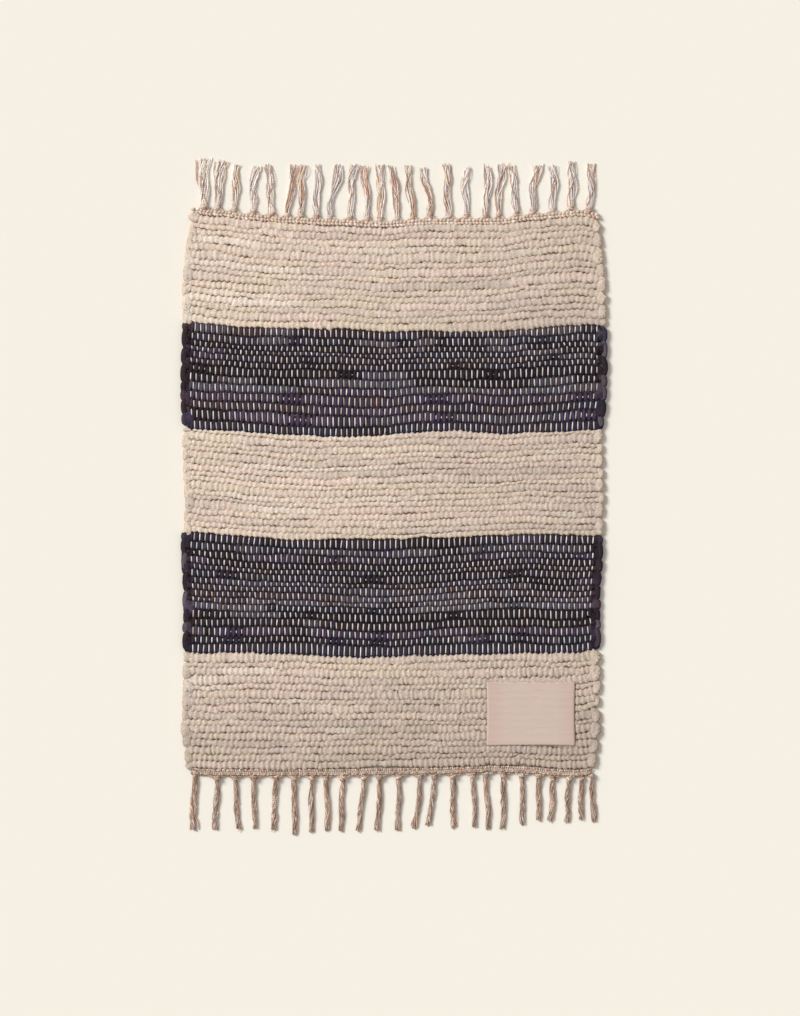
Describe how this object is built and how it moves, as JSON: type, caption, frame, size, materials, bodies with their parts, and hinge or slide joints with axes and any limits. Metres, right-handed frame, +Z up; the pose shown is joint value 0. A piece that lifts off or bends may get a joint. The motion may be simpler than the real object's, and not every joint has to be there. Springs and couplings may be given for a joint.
{
  "type": "chindi rug",
  "caption": "Flat hand woven rag rug with natural and dark bands, knotted warp tassels at both ends and a small bare sewn patch.",
  "frame": {"origin": "middle of the rug's reach over the floor, on its underside", "axes": "+X across the rug to the right as seen from above with the patch near the viewer, +Y along its length away from the patch, +Z up from the floor"},
  "size_m": [0.604, 0.948, 0.0093],
  "materials": {
    "natural_rag": "matte",
    "dark_rag": "matte",
    "warp_cotton": "matte",
    "patch_tape": "matte"
  },
  "bodies": {
    "root": {"rug_body": "natural_rag", "fringe_far": "warp_cotton", "fringe_near": "warp_cotton", "label": "patch_tape"}
  },
  "joints": []
}
